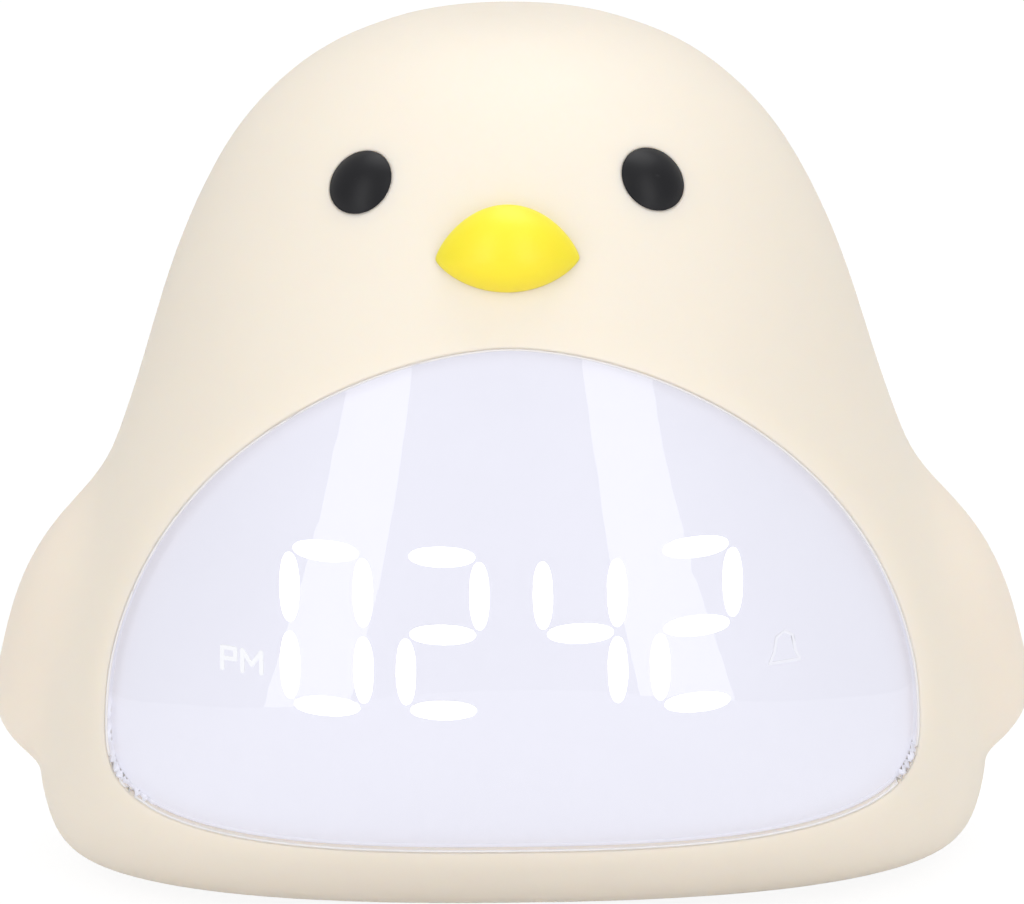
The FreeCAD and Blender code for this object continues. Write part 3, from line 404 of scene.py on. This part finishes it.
# Painted light: the film's base colour is dark and its even glow makes it pale. The unlit segments and
# colon dots share that painted glow.
film = glowing("lavender_film", (0.32, 0.32, 0.35), (0.90, 0.90, 1.0), 0.58)
for node in ("display_film", "dark_segments", "colon_dots"):
    dress(node, film)
lit_guide = glowing("lit_guide", (0.9, 0.9, 0.9), (1.0, 1.0, 1.0), 1.0)
for node in ("hour_tens_digit", "hour_ones_digit", "minute_tens_digit", "minute_ones_digit"):
    dress(node, lit_guide)
dress("half_day_letters", glowing("lit_letters", (0.34, 0.34, 0.36), (0.97, 0.98, 1.0), 0.62))
# Painted light: the unlit bell sign glows as evenly as the film, a little whiter so that its outline shows.
dress("bell_sign", glowing("bell_painted_glow", (0.33, 0.33, 0.36), (0.93, 0.93, 1.0), 0.58))


def close_wells(node, reach):
    """Swell a guide into the hair-thin gap around it, so that no dark line shows through the film."""
    swell = nodes[node].modifiers.new("swell", "DISPLACE")
    swell.strength = reach
    swell.mid_level = 0.0


for node in ("bell_sign", "half_day_letters", "hour_tens_digit", "hour_ones_digit",
             "minute_tens_digit", "minute_ones_digit"):
    close_wells(node, WELL_GAP)
print("display finishes made")

# %% [markdown]
# A pale soft bead seals the hair-thin gap between lens and cover, and a second bead behind
# the lens's edge glows with the film's painted light, so that the gap at the film's edge
# shows lit and not dark. Both follow rims of the lens itself: a rim is where the upright side
# wall meets the front or the back skin. Its points are sorted by their angle around the
# lens's middle, and each bead is a thin tube beside its rim.
# A fault is left in here: narrow wall faces slope a little more than WALL_SLOPE, so at the
# belly's lower corners points off the rim get in, and the beads jump across the side wall.
# With a WALL_SLOPE of 0.05 both rims come out as closed rings.

# %% Lens seal
SEAL_RADIUS = 0.00014
SEAL_OFFSET = 0.00012
GLOW_RADIUS = 0.0003
GLOW_OFFSET = -0.00005
WALL_SLOPE = 0.02
MERGE_DISTANCE = 1e-6
BEVEL_STEPS = 2


def turn_around(point, middle_x, middle_z):
    """The angle of a point around the lens's middle, as a viewer in front of it sees it."""
    return math.atan2(point.z - middle_z, point.x - middle_x)


def rim_points(node, facing):
    """One rim of a node in order, as (point, outward direction of the side wall) pairs."""
    low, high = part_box(node)
    middle_x = (low[0] + high[0]) / 2
    middle_z = (low[2] + high[2]) / 2
    mesh = bmesh.new()
    mesh.from_mesh(nodes[node].data)
    bmesh.ops.remove_doubles(mesh, verts=mesh.verts, dist=MERGE_DISTANCE)
    bmesh.ops.recalc_face_normals(mesh, faces=mesh.faces)
    found = {}
    for edge in mesh.edges:
        walls = [face for face in edge.link_faces if abs(face.normal.y) < WALL_SLOPE]
        skins = [face for face in edge.link_faces if face.normal.y * facing >= WALL_SLOPE]
        if len(walls) == 1 and len(skins) == 1:
            for vert in edge.verts:
                found.setdefault(vert.index, (vert.co.copy(), walls[0].normal.copy()))
    mesh.free()
    return sorted(found.values(), key=lambda pair: turn_around(pair[0], middle_x, middle_z))


def round_strokes(name, lines, radius, closed, material, body):
    """A mesh of round strokes along lines of points, which rides on one body."""
    curve = bpy.data.curves.new(name + "_line", "CURVE")
    curve.dimensions = "3D"
    curve.bevel_depth = radius
    curve.bevel_resolution = BEVEL_STEPS
    curve.use_fill_caps = not closed
    for line in lines:
        spline = curve.splines.new("POLY")
        spline.points.add(len(line) - 1)
        spline.use_cyclic_u = closed
        for point, place in zip(spline.points, line):
            point.co = (*place, 1)
    drawing = bpy.data.objects.new(name + "_drawing", curve)
    mesh = bpy.data.meshes.new_from_object(drawing)
    bpy.data.objects.remove(drawing)
    piece = bpy.data.objects.new(name, mesh)
    bpy.context.scene.collection.objects.link(piece)
    mesh.materials.clear()
    mesh.materials.append(material)
    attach(piece, body)


def add_bead(name, rim, radius, offset, material):
    """A thin tube behind and beside one rim of the lens."""
    line = [place + outwards * offset + Vector((0, radius, 0)) for place, outwards in rim]
    round_strokes(name, [line], radius, True, material, "housing")
    print(name, "follows", len(rim), "rim points")


front_rim = rim_points("display_lens", -1)
back_rim = rim_points("display_lens", 1)
seal_silicone = moulded("seal_silicone", (0.82, 0.79, 0.78), 0.5, 2500.0, 0.04)
add_bead("lens_seal", front_rim, SEAL_RADIUS, SEAL_OFFSET, seal_silicone)
# Painted light: this bead glows with the film's painted glow over the gap behind the lens's edge.
add_bead("film_edge_painted_glow", back_rim, GLOW_RADIUS, GLOW_OFFSET, film)

# %% [markdown]
# Inside are ordinary parts: green circuit boards, black chips, steel screws and a battery
# in a blue sleeve. Steel is a metal shader with a fine grain, the rest are moulded.

# %% Inner finishes
def steel_material():
    """Bare steel with a fine even grain."""
    material, shader = new_material("steel")
    shader.inputs["Base Color"].default_value = (0.60, 0.60, 0.62, 1)
    shader.inputs["Metallic"].default_value = 1.0
    shader.inputs["Roughness"].default_value = 0.32
    add_grain(material, shader, scale=700.0, strength=0.15)
    return material


steel = steel_material()
for node in ("base_screws", "shell_screws", "charging_port", "switch_case", "speaker_frame",
             "speaker_magnet"):
    dress(node, steel)
board_green = moulded("board_green", (0.03, 0.16, 0.06), roughness=0.35, grain_scale=900.0,
                      grain=0.1, drift=0.08)
for node in ("display_board", "main_board", "light_board"):
    dress(node, board_green)
black_plastic = moulded("black_plastic", (0.02, 0.02, 0.02), 0.45, 2500.0, 0.15)
for node in ("tact_switches", "board_chips", "port_tongue", "switch_knob"):
    dress(node, black_plastic)
dress("speaker_cone", moulded("paper_cone", (0.06, 0.06, 0.06), 0.8, 1500.0, 0.4))
dress("battery_cell", moulded("battery_sleeve", (0.04, 0.16, 0.45), 0.3, 400.0, 0.03))
for node in ("display_leds", "light_leds"):
    dress(node, moulded("led_chip", (0.85, 0.72, 0.25), 0.3, 1500.0, 0.05))
print("inner finishes made")

# %% [markdown]
# Each key at the back carries a small raised sign. A sign is a few round strokes that are
# half sunk in the key's outer face: a curve with a bevel gives the round stroke, and a
# mesh made from it rides on its key, so that it moves when the key is pressed.

# %% Key signs
SIGN_REACH = 0.0015
STROKE_RADIUS = 0.00016


def arc(centre_x, centre_z, radius, start, end, count=25):
    """Points on a round stretch, with its angles in degrees."""
    turns = [math.radians(start + (end - start) * step / (count - 1)) for step in range(count)]
    return [(centre_x + radius * math.cos(turn), centre_z + radius * math.sin(turn)) for turn in turns]


SIGNS = {
    "up_key": [[(-1, 0), (1, 0)], [(0, -1), (0, 1)]],
    "down_key": [[(-1, 0), (1, 0)]],
    "set_key": [arc(0, 0, 0.95, 0, 360), [(0, 0.55), (0, 0), (0.4, -0.25)]],
    "alarm_key": [[(-1, -0.6), (-0.7, -0.2)] + arc(0, 0.3, 0.7, 180, 0)
                  + [(0.7, -0.2), (1, -0.6), (-1, -0.6)],
                  arc(0, -0.75, 0.25, 180, 360, 9)],
    "light_key": [arc(0, 0.25, 0.75, -60, 240), [(-0.37, -0.4), (0.37, -0.4)], [(-0.3, -0.8), (0.3, -0.8)]],
}


def make_sign(key, strokes):
    """Round strokes on the outer face of a key."""
    low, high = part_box(key)
    middle_x = (low[0] + high[0]) / 2
    middle_z = (low[2] + high[2]) / 2
    lines = [[(middle_x + x * SIGN_REACH, high[1], middle_z + z * SIGN_REACH) for x, z in stroke]
             for stroke in strokes]
    round_strokes(key + "_sign", lines, STROKE_RADIUS, False, sign_ink, key)


sign_ink = moulded("sign_ink", (0.16, 0.14, 0.12), 0.5, 2500.0, 0.05)
for key, strokes in SIGNS.items():
    make_sign(key, strokes)
print("signs on", len(SIGNS), "keys")

# %% Finish
bpy.context.scene.view_settings.view_transform = "Standard"
